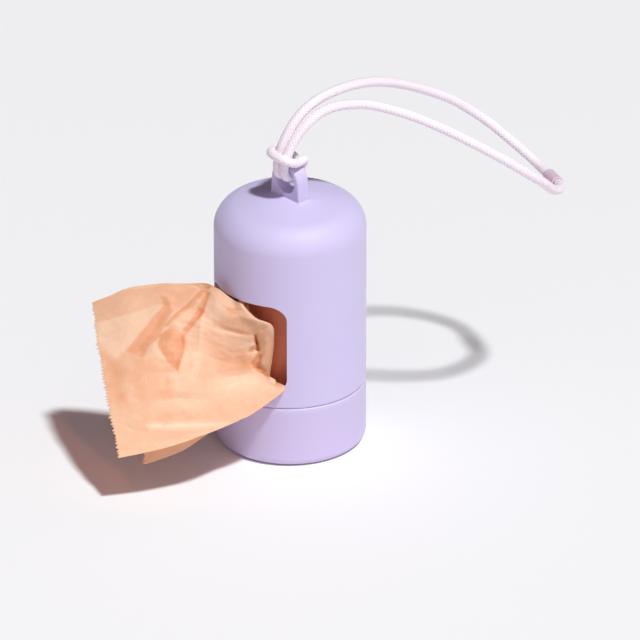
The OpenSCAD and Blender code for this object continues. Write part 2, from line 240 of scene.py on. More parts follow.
def smooth_line(points, step):
    """A smooth line through the points, as places a given step apart along it.

    Between two points runs the cubic whose slope at each point is the mean of the two
    legs' slopes, each weighed by the length of the other leg.
    """
    leg = np.linalg.norm(np.diff(points, axis=0), axis=1)
    slope = np.diff(points, axis=0) / leg[:, None]
    inner = slope[:-1] * leg[1:, None] + slope[1:] * leg[:-1, None]
    inner = inner / (leg[1:] + leg[:-1])[:, None]
    slopes = np.concatenate([slope[:1], inner, slope[-1:]])
    t = np.linspace(0, 1, 40, endpoint=False)[None, :, None]
    a, b = points[:-1, None], points[1:, None]
    va, vb = slopes[:-1, None] * leg[:, None, None], slopes[1:, None] * leg[:, None, None]
    fine = (
        (2 * t**3 - 3 * t**2 + 1) * a
        + (t**3 - 2 * t**2 + t) * va
        + (3 * t**2 - 2 * t**3) * b
        + (t**3 - t**2) * vb
    )
    fine = np.concatenate([fine.reshape(-1, 3), points[-1:]])
    run = run_of(fine)
    even = np.linspace(0, run[-1], int(run[-1] / step) + 1)
    return np.stack([np.interp(even, run, fine[:, k]) for k in range(3)], -1), even


def unit(v):
    """The vectors v, one long."""
    return v / np.linalg.norm(v, axis=-1, keepdims=True)


def on_map(tree):
    """The place on the piece's map, as its parts X and Y."""
    return add(tree, "SeparateXYZ", {"Vector": add(tree, "UVMap", uv_map="map").outputs[0]}).outputs


def bumped(tree, shader, height, distance, strength):
    """Gives the shader the normal of a relief of that height, and returns it."""
    relief = add(tree, "Bump", {"Height": height, "Distance": distance, "Strength": strength})
    tree.links.new(relief.outputs[0], shader.inputs["Normal"])
    return relief.outputs[0]


def ramped(tree, shader, factor, *stops):
    """Gives the shader the colour that a ramp of (place, colour) has at the factor."""
    tone = add(tree, "ValToRGB", {"Fac": factor})
    ramp = tone.color_ramp.elements
    ramp[0].position, ramp[0].color = stops[0]
    ramp[1].position, ramp[1].color = stops[-1]
    for place, colour in stops[1:-1]:
        ramp.new(place).color = colour
    tree.links.new(tone.outputs["Color"], shader.inputs["Base Color"])


def side_vectors(line):
    """A heading and two side directions at each place of the line, turning no more than it.

    A first side is square to the heading and to a fixed direction. How much it turns
    about the heading from one place to the next is then added up and taken away again.
    """
    heading = unit(np.gradient(line, axis=0))
    side = unit(np.cross(heading, [0.62, 0.35, 0.7]))
    carried = unit(side[:-1] - heading[1:] * (side[:-1] * heading[1:]).sum(1)[:, None])
    across = np.cross(heading[1:], carried)
    turn = np.arctan2((side[1:] * across).sum(1), (side[1:] * carried).sum(1))
    turn = np.concatenate([[0], np.cumsum(turn)])[:, None]
    first = side * np.cos(turn) - np.cross(heading, side) * np.sin(turn)
    return heading, first, np.cross(heading, first)


yarns, braid_lead, braid_depth, braid_proud = 8, 9.6, 0.13, 0.03


def braid_height(along, around):
    """Height, 0 to 1, of a plain braid at a length in mm and a turn, 0 to 1.

    Two sets of yarns wind left and right. Each yarn is a half round across its width and
    rises and dips along its way, and the surface is the higher of the two sets.
    """
    a = yarns * (around + along / braid_lead)
    b = yarns * (around - along / braid_lead)
    round_a, round_b = np.abs(np.sin(np.pi * a)), np.abs(np.sin(np.pi * b))
    parity = 1 - 2 * ((np.floor(a) + np.floor(b)) % 2)
    over_a = round_a**0.6 * (0.55 + 0.45 * parity * round_b)
    over_b = round_b**0.6 * (0.55 - 0.45 * parity * round_a)
    return np.maximum(over_a, over_b)


line, along = smooth_line(route, 0.2)
heading, side_a, side_b = side_vectors(line)
leg = run_of(route)
leg = leg * along[-1] / leg[-1]
change = [leg[point + step] for point in squeezed for step in (-1, 1)]
thick = np.interp(
    along, [0, *change, along[-1]], [cord_d, cord_d, hitch_d, hitch_d, cord_d, cord_d]
)
around = np.linspace(0, 1, 41)
lean = 2 * np.pi * around[None, :, None]
outward = side_a[:, None] * np.cos(lean) + side_b[:, None] * np.sin(lean)
hollow = 1 - braid_height(along[:, None], around[None, :])
radius = thick[:, None] / 2 + braid_proud - braid_depth * hollow
closing = np.ones(len(line))
closing[[0, -1]] = 0
cord_points = line[:, None] + outward * (radius * closing[:, None])[:, :, None]
cord_map = np.stack(np.broadcast_arrays(along[:, None] / 10, around[None, :]), -1)

braid, tree, shader = finish_of(
    "braided_polyester", Roughness=0.62, Specular_IOR_Level=0.35, Sheen_Weight=0.35,
    Sheen_Roughness=0.4, Sheen_Tint=shade(255, 246, 252),
)
length_mm = calc(tree, "MULTIPLY", on_map(tree)["X"], 10.0 * yarns / braid_lead)
turns = calc(tree, "MULTIPLY", on_map(tree)["Y"], float(yarns))
left = calc(tree, "ADD", turns, length_mm)
right = calc(tree, "SUBTRACT", turns, length_mm)
parity = calc(tree, "ADD", calc(tree, "FLOOR", left), calc(tree, "FLOOR", right))
parity = calc(tree, "FLOORED_MODULO", parity, 2.0)
round_left = calc(tree, "ABSOLUTE", calc(tree, "SINE", calc(tree, "MULTIPLY", left, np.pi)))
round_right = calc(tree, "ABSOLUTE", calc(tree, "SINE", calc(tree, "MULTIPLY", right, np.pi)))
# Across the yarn that lies on top, to lay its filaments along it
across = add(tree, "Mix", {"Factor": parity, 2: left, 3: right}, data_type="FLOAT")
on_top = add(tree, "Mix", {"Factor": parity, 2: round_left, 3: round_right}, data_type="FLOAT")
filament = calc(tree, "SINE", calc(tree, "MULTIPLY", across.outputs[0], 6 * np.pi))
shape_of = calc(tree, "MULTIPLY_ADD", filament, 0.12, on_top.outputs[0])
fuzz = noise(tree, spot(tree), 2600.0)
shape_of = calc(tree, "MULTIPLY_ADD", fuzz, 0.25, shape_of)
bumped(tree, shader, shape_of, 0.00012, 0.5)
# Painted shade: the cord is coloured deeper where the yarn on top falls away, in the hollows
# between the yarns
ramped(tree, shader, on_top.outputs[0], (0, shade(236, 214, 230)), (0.65, shade(253, 245, 252)))

cord = grid_mesh("braided_cord", [(cord_points[::-1], cord_map[::-1])], braid)
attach(cord, "housing")
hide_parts("cord_loop")

# ------------------------------------------------------------------------------- Sleeve
# Heat-shrunk sleeve, darker pink than the cord. It covers the butted cut ends, grips the
# cord over its middle, and flares a little at both mouths.

sleeve_mid = np.array([31.8, 79.0, 67.4])
sleeve_way = unit(np.array([9.6, -4.9, 1.2]))
half = np.array([
    [1.56, 3.2], [1.62, 3.9], [1.66, 3.98], [1.82, 4.0], [1.94, 3.93], [1.99, 3.75],
    [2.0, 3.4], [1.98, 2.6], [1.95, 2.3], [1.95, 1.9], [1.98, 1.6],
])
sleeve_profile = np.concatenate([half * [1, -1], half[::-1], half[:1] * [1, -1]])
turn = np.linspace(0, 2 * np.pi, 61)[:, None, None]
level_side = unit(np.cross(sleeve_way, [0, 0, 1.0]))
up_side = np.cross(sleeve_way, level_side)
ring_way = level_side * np.cos(turn) + up_side * np.sin(turn)
sleeve_points = (
    sleeve_mid + sleeve_way * sleeve_profile[None, :, 1:] + ring_way * sleeve_profile[None, :, :1]
)
shrink, tree, shader = finish_of("shrunk_sleeve", Roughness=0.42, Specular_IOR_Level=0.4)
place = spot(tree)
grain = noise(tree, place, 1500.0, 3.0)
bumped(tree, shader, grain, 0.00006, 0.5)
tinted(tree, shader, grain, shade(224, 192, 216), shade(236, 210, 230))
sleeve = grid_mesh("cord_end_sleeve", [sleeve_points], shrink, sharp=50)
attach(sleeve, "housing")
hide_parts("cord_sleeve")

# ---------------------------------------------------------------------- Moulded shell
# Injection-moulded in one piece from a pale lilac plastic with a soft, finely grained
# skin: wall, crowned dome with the lug on it, side window, and the thread inside its open
# lower end.

body_r, wall = 22.5, 2.0
bore_r = body_r - wall
body_h, shoulder_r, crown_rise = 78.7, 8.3, 1.8
cap_h, parting_gap, chamfer = 19.3, 0.1, 0.35
rim_z = cap_h + parting_gap
window_w, window_h, window_r, sill_z = 30.1, 27.9, 4.3, 24.5
window_mid = sill_z + window_h / 2
pitch, thread_rise, thread_top = 2.4, 0.55, 23.7
full_turn = np.linspace(-180, 180, 181)
all_round = np.radians(full_turn)[:, None]


def turned(r, a, z):
    """Places at radius r, angle a and height z about the body's axis."""
    return np.stack(np.broadcast_arrays(r * np.sin(a), -r * np.cos(a), z), -1)


def revolve(profile, turns=full_turn):
    """The profile's points (radius, height) turned about the body's axis."""
    profile = np.asarray(profile, float)
    return turned(profile[None, :, 0], np.radians(turns)[:, None], profile[None, :, 1])


def arc(middle, r, start, end, steps):
    """Points of an arc about middle, from one angle to another in degrees."""
    a = np.radians(np.linspace(start, end, steps + 1))
    return np.stack([middle[0] + r * np.cos(a), middle[1] + r * np.sin(a)], -1)


shoulder = np.array([body_r - shoulder_r, body_h - crown_rise - shoulder_r])
crown_r = (shoulder[0] ** 2 + crown_rise**2 + 2 * crown_rise * shoulder_r) / (2 * crown_rise)
crown_z = body_h - crown_r
meet = np.degrees(np.arctan2(shoulder[1] - crown_z, shoulder[0]))


def dome(inset):
    """Half outline of the dome, set in from the outside: shoulder arc, then flatter crown."""
    low = arc(shoulder, shoulder_r - inset, 0, meet, 24)
    return np.concatenate([low, arc([0, crown_z], crown_r - inset, meet, 90, 16)[1:]])


def threaded(r, rise, z, low, high, shift):
    """A round wall of radius r at the heights z, with a right-hand thread.

    Its ridge climbs one pitch in a turn and has sloping flanks. It stands rise out from
    the wall, less towards its ends at low and high.
    """
    half_ridge, flank, runout = 0.21, 0.1, 0.6
    phase = ((z - pitch * all_round / (2 * np.pi)) / pitch + shift) % 1 - 0.5
    ridge = np.clip((half_ridge - np.abs(phase)) / flank, 0, 1)
    fade = np.clip((z - low) / runout, 0, 1) * np.clip((high - z) / runout, 0, 1)
    return turned(r + rise * ridge * fade, all_round, z)


def plain_map(points):
    """The points with a map that says nowhere is rubbed."""
    return points, np.zeros(points.shape[:2] + (2,))


def window_side(count, half):
    """One side of the window with half of each round corner, at even steps along it.

    Gives the place along the side, how far the corner draws it in, and the way outward.
    """
    f = np.linspace(-1, 1, count + 1)[:-1]
    reach = half - window_r + np.pi * window_r / 4
    run = np.abs(f) * reach
    bend = np.maximum(run - (half - window_r), 0) / window_r
    where = np.sign(f) * (np.minimum(run, half - window_r) + window_r * np.sin(bend))
    return where, window_r * (1 - np.cos(bend)), np.sign(f) * np.sin(bend), np.cos(bend)


# The wall round the window is one strip that starts on the outside, rolls over the rim,
# crosses the wall along Y and goes on over the inside. Its border fits the wall's grid.
hole_turns, hole_low, hole_low_in, hole_top, columns, rows = 54.0, 21.6, 24.05, 57.0, 54, 36
w, h = window_w / 2, window_h / 2
bottom, right = window_side(columns, w), window_side(rows, h)
outline = np.concatenate([
    np.stack([bottom[0], sill_z + bottom[1], bottom[2], -bottom[3]], -1),
    np.stack([w - right[1], window_mid + right[0], right[3], right[2]], -1),
    np.stack([-bottom[0], sill_z + window_h - bottom[1], -bottom[2], bottom[3]], -1),
    np.stack([right[1] - w, window_mid - right[0], -right[3], -right[2]], -1),
])
outline = np.concatenate([outline, outline[:1]])
flat = np.linspace(-1, 1, columns + 1)[:-1]
rise = np.linspace(0, 1, rows + 1)[:-1]
border_turn = np.radians(hole_turns) * np.concatenate(
    [flat, np.ones(rows), -flat, -np.ones(rows), [-1]]
)
border_rise = np.concatenate([0 * flat, rise, 0 * flat + 1, 1 - rise, [0]])


def on_wall(r, x, z, depth=0.0):
    """A place on the wall of radius r that is seen at x and z from the front."""
    return np.stack(np.broadcast_arrays(x, depth - np.sqrt(r**2 - x**2), z), -1)


def wall_strip(r, low, roll, blend):
    """The part of the strip on one wall, from the border to where the rim starts.

    Each place lies at a share, given in blend, of the way from the border to the window's
    outline, set off by the rim's roll, both in its angle and in its height.
    """
    x, z = outline[:, 0] + outline[:, 2] * roll, outline[:, 1] + outline[:, 3] * roll
    t = np.asarray(blend)[None, :]
    a = border_turn[:, None] * (1 - t) + np.arcsin(x / r)[:, None] * t
    z = (low + (hole_top - low) * border_rise)[:, None] * (1 - t) + z[:, None] * t
    return turned(r, a, z)


outer_roll, inner_roll = 0.4, 0.3
bend = np.radians(np.array([15, 30, 45, 60, 75, 90]))[None, :]
x, z, nx, nz = (outline[:, k : k + 1] for k in range(4))
off = outer_roll * (1 - np.sin(bend))
rim_out = on_wall(body_r, x + nx * off, z + nz * off, outer_roll * (1 - np.cos(bend)))
off = inner_roll * (1 - np.sin(bend[:, ::-1]))
rim_in = on_wall(bore_r, x + nx * off, z + nz * off, -inner_roll * (1 - np.cos(bend[:, ::-1])))
share = np.array([0.25, 0.5, 0.75])[None, :, None]
between = rim_out[:, -1:] * (1 - share) + rim_in[:, :1] * share
steps = [0, 0.2, 0.4, 0.58, 0.73, 0.85, 0.93, 0.98, 1]
strip = np.concatenate([
    wall_strip(body_r, hole_low, outer_roll, steps),
    rim_out,
    between,
    rim_in,
    wall_strip(bore_r, hole_low_in, inner_roll, steps[::-1]),
], 1)
strip, rubbed = plain_map(strip)
rubbed[:, 7:13, 0] = [0.5, 0.9, 1, 1, 1, 0.6]

around_hole = np.linspace(hole_turns, 360 - hole_turns, 127)
heights = np.linspace(hole_low, hole_top, rows + 1)
heights_in = np.linspace(hole_low_in, hole_top, rows + 1)
rim_profile = [[bore_r + chamfer, rim_z], [body_r - chamfer - 0.08, rim_z]]
rim_profile += arc([body_r - chamfer, rim_z + 0.1], 0.1, -90, -45, 2).tolist()
rim_profile += [[body_r - 0.06, rim_z + chamfer - 0.06], [body_r, rim_z + chamfer + 0.08]]
rim_profile += [[body_r, 20.2], [body_r, 20.9], [body_r, hole_low]]
lower, rubbed_rim = plain_map(revolve(rim_profile))
rubbed_rim[:, 2:6, 0] = 1
outer_side = revolve([[body_r, z] for z in heights], around_hole)
above = [[body_r, z] for z in np.linspace(hole_top, shoulder[1], 9)[:-1]]
upper = revolve(np.concatenate([above, dome(0)]))
inner_dome = dome(wall)[::-1]
above = [[bore_r, z] for z in np.linspace(shoulder[1], hole_top, 9)[1:]]
inner_upper = revolve(np.concatenate([inner_dome, above]))
inner_side = revolve([[bore_r, z] for z in heights_in[::-1]], around_hole)
bore_z = np.arange(hole_low_in, rim_z + 0.45, -0.12)
bore_z = np.append(bore_z, rim_z + chamfer)
thread = threaded(bore_r, -thread_rise, bore_z, rim_z + 0.5, thread_top, 0.0)
mouth = revolve([[bore_r, rim_z + chamfer], [bore_r + chamfer, rim_z]])

# The lug is a plate round the eye. Its outline is the eye's wall, a straight line down each
# side and a rounded foot. A section through the plate is carried round the eye, out to that
# outline.
lug_w, lug_t, lug_round = 12.4, 4.5, 0.65
eye_d, eye_wall, eye_up, eye_round = 7.4, 1.85, 5.15, 0.5
eye_z, eye_r, top_r = body_h + eye_up, eye_d / 2, eye_d / 2 + eye_wall
corner = np.array([lug_w / 2 - lug_round, body_h - crown_rise - wall / 2 + lug_round - eye_z])
gap = np.hypot(*corner)
tangent = np.degrees(np.arctan2(corner[1], corner[0]) + np.arccos((top_r - lug_round) / gap))
top_arc = arc([0, 0], top_r, 90, tangent, 40)
foot_arc = arc(corner, lug_round, tangent, -90, 12)
straight = np.linspace(top_arc[-1], foot_arc[0], 40)[1:-1]
half_outline = np.concatenate([top_arc, straight, foot_arc, [[0, corner[1] - lug_round]]])
bearing = np.arctan2(half_outline[:, 0], half_outline[:, 1])
reach = np.hypot(half_outline[:, 0], half_outline[:, 1])
from_top = np.linspace(-np.pi, np.pi, 193)
plate_r = np.interp(np.abs(from_top), bearing, reach)[:, None]
half_t = lug_t / 2
outer, inner = half_t - lug_round, half_t - eye_round
# The front half of the section: the share of the way from the plate's edge to the eye, the
# distance outward from there, and the place across the plate. The back mirrors it.
front = np.concatenate([
    [[0, lug_round, 0], [0, lug_round, -outer / 2]],
    [[0, *place] for place in arc([0, -outer], lug_round, 0, -90, 6)],
    [[part, 0, -half_t] for part in (0.2, 0.4, 0.6, 0.8)],
    [[1, *place] for place in arc([0, -inner], eye_round, -90, -180, 6)],
    [[1, -eye_round, -inner / 2], [1, -eye_round, 0]],
])
back = front * [1, 1, -1]
share, outward, across = np.concatenate([back[8:0:-1], front, back[20:7:-1]]).T
section_r = (plate_r - lug_round) * (1 - share) + (eye_r + eye_round) * share + outward
way_x, way_z = np.sin(from_top)[:, None], np.cos(from_top)[:, None]
lug = [section_r * way_x, across, eye_z + section_r * way_z]
lug = np.stack(np.broadcast_arrays(*lug), -1)[::-1]

# A small fillet runs round the foot of the lug, down onto the crown. Its upper edge lies
# inside the lug and its lower edge just under the crown.
fillet, tucked, sunk = 0.55, 0.12, 0.015
foot_x, foot_y = lug_w / 2 - lug_round, lug_t / 2 - lug_round
a = np.radians(np.linspace(0, 90, 9) + 90 * np.arange(4)[:, None] - 90)
foot_out = np.stack([np.cos(a), np.sin(a)], -1)
foot_path = np.array([[1, -1], [1, 1], [-1, 1], [-1, -1]]) * [foot_x, foot_y]
foot_path = foot_path[:, None] + lug_round * foot_out
foot_path, foot_out = (
    np.concatenate([v.reshape(-1, 2), v[0, :1]])[:, None] for v in (foot_path, foot_out)
)
q = np.radians(np.linspace(0, 90, 8))[None, :, None]
flat_place = foot_path + foot_out * (fillet * (1 - np.cos(q)) - tucked * (1 - q / q.max()))
crown = crown_z + np.sqrt(crown_r**2 - (flat_place**2).sum(-1, keepdims=True))
fillet_points = np.concatenate([flat_place, crown - sunk + fillet * (1 - np.sin(q))], -1)


def node_group(name, takes, gives):
    """A node group, the sources inside it for what it takes, and the inputs for what it gives."""
    group = bpy.data.node_groups.new(name, "ShaderNodeTree")
    for in_out, sockets in (("INPUT", takes), ("OUTPUT", gives)):
        for socket, kind in sockets.items():
            group.interface.new_socket(socket, in_out=in_out, socket_type="NodeSocket" + kind)
    given = group.nodes.new("NodeGroupInput").outputs
    return group, given, group.nodes.new("NodeGroupOutput").inputs


grain, given, taken = node_group(
    "soft_moulded_skin",
    {"Place": "Vector", "Rubbed": "Float"},
    {"Tone": "Float", "Roughness": "Float", "Normal": "Vector"},
)
fine = noise(grain, given["Place"], 4200.0)
coarse = add(grain, "TexVoronoi", {"Vector": given["Place"], "Scale": 2300.0}, feature="SMOOTH_F1")
slow = noise(grain, given["Place"], 46.0, 3.0)
skin_height = calc(grain, "MULTIPLY_ADD", coarse.outputs["Distance"], 0.6, fine)
relief = add(grain, "Bump", {"Height": skin_height, "Distance": 0.00003, "Strength": 0.55})
sink = add(grain, "Bump", {"Height": slow, "Distance": 0.0004, "Strength": 0.12})
grain.links.new(sink.outputs[0], relief.inputs["Normal"])
smear = calc(grain, "MULTIPLY_ADD", slow, 0.16, 0.42)
smear = calc(grain, "MULTIPLY_ADD", fine, 0.08, smear)
smear = calc(grain, "MULTIPLY_ADD", given["Rubbed"], -0.14, smear)
tint = calc(grain, "MULTIPLY_ADD", slow, 0.35, 0.1)
tint = calc(grain, "MULTIPLY_ADD", given["Rubbed"], 0.5, tint)
grain.links.new(tint, taken["Tone"])
grain.links.new(smear, taken["Roughness"])
grain.links.new(relief.outputs[0], taken["Normal"])


def soft_plastic(name, deep, pale):
    """Soft-touch plastic with fine grain, paler and smoother where its edges are rubbed."""
    material, tree, shader = finish_of(
        name, Specular_IOR_Level=0.5, Sheen_Weight=0.15, Sheen_Roughness=0.5
    )
    skin = add(tree, "Group", node_tree=grain)
    tree.links.new(spot(tree), skin.inputs["Place"])
    tree.links.new(on_map(tree)["X"], skin.inputs["Rubbed"])
    tinted(tree, shader, skin.outputs["Tone"], deep, pale)
    tree.links.new(skin.outputs["Roughness"], shader.inputs["Roughness"])
    tree.links.new(skin.outputs["Normal"], shader.inputs["Normal"])
    return material


lilac = soft_plastic("lilac_soft_plastic", shade(206, 195, 235), shade(214, 207, 241))
shell_patches = [(lower, rubbed_rim), plain_map(outer_side), plain_map(upper), (strip, rubbed)]
shell_patches += [plain_map(p) for p in (inner_upper, inner_side, thread, mouth)]
shell_patches += [plain_map(lug), plain_map(fillet_points)]
shell = grid_mesh("moulded_shell", shell_patches, lilac, sharp=42)
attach(shell, "housing")
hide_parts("shell")

# -------------------------------------------------------------------------- Screw cap
# The cup under the shell, moulded from the same plastic in a slightly deeper tone. Its
# thinner neck carries the outside thread, and its foot is rounded and stands on a rim.

foot_r, floor_t, neck_h = 2.5, 2.2, 4.7
neck_root, neck_crest, neck_in = 19.75, 20.3, 18.5
neck_top = cap_h + neck_h
foot_in = foot_r - wall
# It stands on a rim from 17.5 mm out, and the floor inside that lies a little higher
low_z = 0.35
underside = [[0, low_z], [8, low_z], [16.6, low_z], [16.9, 0.3], [17.3, 0.05], [17.5, 0], [18.6, 0]]
outside = arc([body_r - foot_r, foot_r], foot_r, -90, 0, 20).tolist()
outside += [[body_r, z] for z in np.linspace(3.4, cap_h - chamfer - 0.1, 12)]
outside += [[body_r - 0.03, cap_h - chamfer + 0.03], [body_r - chamfer, cap_h - 0.02]]
outside += [[body_r - chamfer - 0.1, cap_h], [neck_root + 0.6, cap_h], [neck_root, cap_h]]
neck_z = np.arange(cap_h + 0.1, neck_top - 0.3, 0.12)
neck_rise = neck_crest - neck_root
neck = threaded(neck_root, neck_rise, neck_z, cap_h + 0.35, neck_top - 0.35, 0.5)
taper_z = cap_h - parting_gap - 2 * wall + floor_t / 2
inside = [[neck_root, neck_top - 0.3], [neck_root - 0.1, neck_top - 0.08]]
inside += [[neck_root - 0.3, neck_top], [neck_in + 0.2, neck_top], [neck_in, neck_top - 0.2]]
inside += [[neck_in, z] for z in np.linspace(neck_top - 0.9, taper_z, 6)]
inside += [[bore_r, taper_z - 2.0]] + [[bore_r, z] for z in np.linspace(13.2, 3.6, 7)]
inside += arc([bore_r - foot_in, floor_t + foot_in], foot_in, 0, -90, 6).tolist()
inside += [[17, floor_t], [11, floor_t], [5, floor_t], [0, floor_t]]
join = [[neck_root, cap_h], [neck_root, neck_z[0]]]
cap_outside, rubbed_cap = plain_map(revolve(underside + outside))
rubbed_cap[:, -6:-2, 0] = 1
rubbed_cap[:, 6:14, 0] = 0.6
lilac_cap = soft_plastic("lilac_cap_plastic", shade(204, 190, 230), shade(212, 202, 236))
cap_patches = [(cap_outside, rubbed_cap), plain_map(revolve(join)), plain_map(neck)]
last_z = [[neck_root, neck_z[-1]], [neck_root, neck_top - 0.3]]
cap_patches += [plain_map(revolve(last_z)), plain_map(revolve(inside))]
cap = grid_mesh("screw_cap", cap_patches, lilac_cap, sharp=42)
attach(cap, "cap")
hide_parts("base_cap")

# ------------------------------------------------------------------------- Paper core
# A tube wound from two plies of grey-brown board, which stands on the cap's floor. The
# butt of the outer ply shows as a spiral line.

core_r, core_in, seat_z, roll_len, ply_lead = 7.5, 6.3, 2.5, 60.0, 34
core_z = np.linspace(0.3, roll_len - 0.3, 150)
core_a = np.radians(np.linspace(-180, 180, 91))[:, None]
seam = ((core_z[None, :] - ply_lead * core_a / (2 * np.pi)) / ply_lead) % 1
seam = np.exp(-(((np.minimum(seam, 1 - seam)) * ply_lead / 0.35) ** 2))
core_out = core_r - 0.02 - 0.1 * seam
core_tube = turned(core_out, core_a, seat_z + core_z[None, :])
core_turns = np.degrees(core_a[:, 0])
low_end = revolve([[core_in, seat_z + 0.2], [6.4, seat_z], [7.35, seat_z]], core_turns)
top_end = revolve([
    [7.35, seat_z + roll_len], [6.4, seat_z + roll_len],
    *([core_in, seat_z + z] for z in (roll_len - 0.2, 45, 30, 15, 0.2)),
], core_turns)


def joined(first, *others):
    """The patches in turn, and between two of them a strip that joins their columns."""
    patches = [first]
    for patch in others:
        patches += [np.stack([patches[-1][:, -1], patch[:, 0]], 1), patch]
    return patches


board, tree, shader = finish_of("wound_board", Roughness=0.9, Specular_IOR_Level=0.2)
place = spot(tree)
apart = add(tree, "SeparateXYZ", {"Vector": place})
turn_of = calc(tree, "ARCTAN2", apart.outputs["X"], apart.outputs["Y"])
climb = -ply_lead * 0.001 / (2 * np.pi)
climb = calc(tree, "MULTIPLY_ADD", turn_of, climb, apart.outputs["Z"])
along_ply = add(tree, "CombineXYZ", {"X": calc(tree, "MULTIPLY", climb, 3.0), "Y": turn_of})
fibre = noise(tree, along_ply.outputs[0], 60.0, 6.0)
mixed = calc(tree, "MULTIPLY_ADD", noise(tree, place, 900.0, 4.0), 0.5, fibre)
bumped(tree, shader, mixed, 0.00012, 0.5)
ramped(tree, shader, mixed, (0.45, shade(158, 135, 108)), (1, shade(206, 186, 158)))
core = grid_mesh("board_core", joined(low_end, core_tube, top_end), board, sharp=40)
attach(core, "core")
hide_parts("roll_core")

# ------------------------------------------------------------------------ Wound roll
# Folded bags, wound end to end on the core. The film is thin and orange, so the packed
# roll looks much deeper in colour than one ply, and its ends show the turns.

roll_r, film_turn = 15.5, 0.55


def ripples(a, b, seed, count, size):
    """About -1 to 1: the sum of cosine waves over a and b, in random ways and phases.

    Each wave is 0.6 to 1.7 times size long and counts for half to one.
    """
    rng = np.random.default_rng(seed)
    way = rng.uniform(0, 2 * np.pi, count)
    wave = 2 * np.pi / (size * rng.uniform(0.6, 1.7, count))
    phase, weight = rng.uniform(0, 2 * np.pi, count), rng.uniform(0.5, 1, count)
    total = sum(
        m * np.cos(k * (np.cos(d) * a + np.sin(d) * b) + p)
        for m, k, d, p in zip(weight, wave, way, phase)
    )
    return total / (weight.sum() * 0.6)


roll_z = np.linspace(0.35, roll_len - 0.35, 170)[None, :]
slack = ripples(roll_r * np.sin(all_round) * 1.3, roll_z * 0.35, 5, 9, 7.0)
slack = slack + 0.6 * ripples(roll_r * np.cos(all_round) * 1.3, roll_z * 0.5, 6, 9, 5.0)
lap = (all_round / (2 * np.pi) + 0.12) % 1
roll_out = roll_r - 0.26 - 0.16 * slack.clip(-1.5, 1.5) + 0.16 * lap
roll_skin = turned(roll_out, all_round, seat_z + roll_z)
end_r = np.linspace(core_r + 0.14, roll_r - 0.3, 96)[None, :]
spiral = 0.5 + 0.5 * np.cos(2 * np.pi * (end_r / film_turn - all_round / (2 * np.pi)))
ragged = 0.5 + 0.4 * ripples(end_r * 3 + 0 * all_round, 12 * np.sin(all_round), 8, 8, 5.0)
depth = 0.05 + 0.3 * spiral**2 * ragged.clip(0, 1)
roll_top = turned(end_r, all_round, seat_z + roll_len - depth)[:, ::-1]
roll_base = turned(end_r, all_round, seat_z + depth)
bore_wall = np.linspace(0, 1, 9)[None, :, None]
bore_wall = roll_top[:, -1:] * (1 - bore_wall) + roll_base[:, :1] * bore_wall

film_skin, given, taken = node_group(
    "creased_film", {"Place": "Vector"}, {"Tone": "Float", "Height": "Float"}
)
place = given["Place"]
warp = add(film_skin, "TexNoise", {"Vector": place, "Scale": 120.0, "Detail": 3.0})
warp = {0: warp.outputs["Color"], "Scale": 0.006}
moved = add(film_skin, "VectorMath", warp, operation="SCALE")
moved = add(film_skin, "VectorMath", {0: place, 1: moved.outputs[0]}, operation="ADD").outputs[0]
soft = tall = noise(film_skin, moved, 300.0, 4.0)
for scale, level_from, weight in ((210.0, 0.12, 3.0), (560.0, 0.08, 1.5)):
    wires = {"Vector": moved, "Scale": scale}
    edge = add(film_skin, "TexVoronoi", wires, feature="DISTANCE_TO_EDGE").outputs["Distance"]
    ridge = calc(film_skin, "MINIMUM", edge, level_from)
    tall = calc(film_skin, "MULTIPLY_ADD", ridge, weight, tall)
film_skin.links.new(tall, taken["Height"])
film_skin.links.new(soft, taken["Tone"])

wound, tree, shader = finish_of("wound_film", Roughness=0.5, Specular_IOR_Level=0.35)
place = spot(tree)
skin = add(tree, "Group", {"Place": place}, node_tree=film_skin)
bumped(tree, shader, skin.outputs["Height"], 0.00025, 0.3)
apart = add(tree, "SeparateXYZ", {"Vector": place})
square_x, square_y = (calc(tree, "POWER", apart.outputs[axis], 2.0) for axis in "XY")
flat_r = calc(tree, "SQRT", calc(tree, "ADD", square_x, square_y))
towards_eye = calc(tree, "MULTIPLY", apart.outputs["Y"], -1.0)
turn_of = calc(tree, "ARCTAN2", apart.outputs["X"], towards_eye)
turn_of = calc(tree, "DIVIDE", turn_of, 2 * np.pi)
turns = calc(tree, "SUBTRACT", calc(tree, "MULTIPLY", flat_r, 1000 / film_turn), turn_of)
rings = calc(tree, "COSINE", calc(tree, "MULTIPLY", turns, 2 * np.pi))
outside_of = calc(tree, "GREATER_THAN", flat_r, 0.0149)
rings = calc(tree, "MULTIPLY", calc(tree, "SUBTRACT", 1.0, outside_of), rings)
dark = calc(tree, "MULTIPLY_ADD", skin.outputs["Tone"], 0.5, 0.25)
dark = calc(tree, "MULTIPLY_ADD", rings, 0.3, dark)
tinted(tree, shader, dark, shade(255, 165, 130), shade(248, 134, 98))
roll_patches = joined(roll_base, roll_skin, roll_top) + [bore_wall]
roll = grid_mesh("wound_roll", roll_patches, wound, sharp=50)
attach(roll, "roll")
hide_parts("bag_roll")

# -------------------------------------------------------------------------- First bag
# The end of the first bag, pulled out through the window and torn off along a line of
# perforations. It is a flat tube of thin film: the front ply, and the back ply below it.

film_length, film_width, film_thick = 50.0, 60.0, 0.12
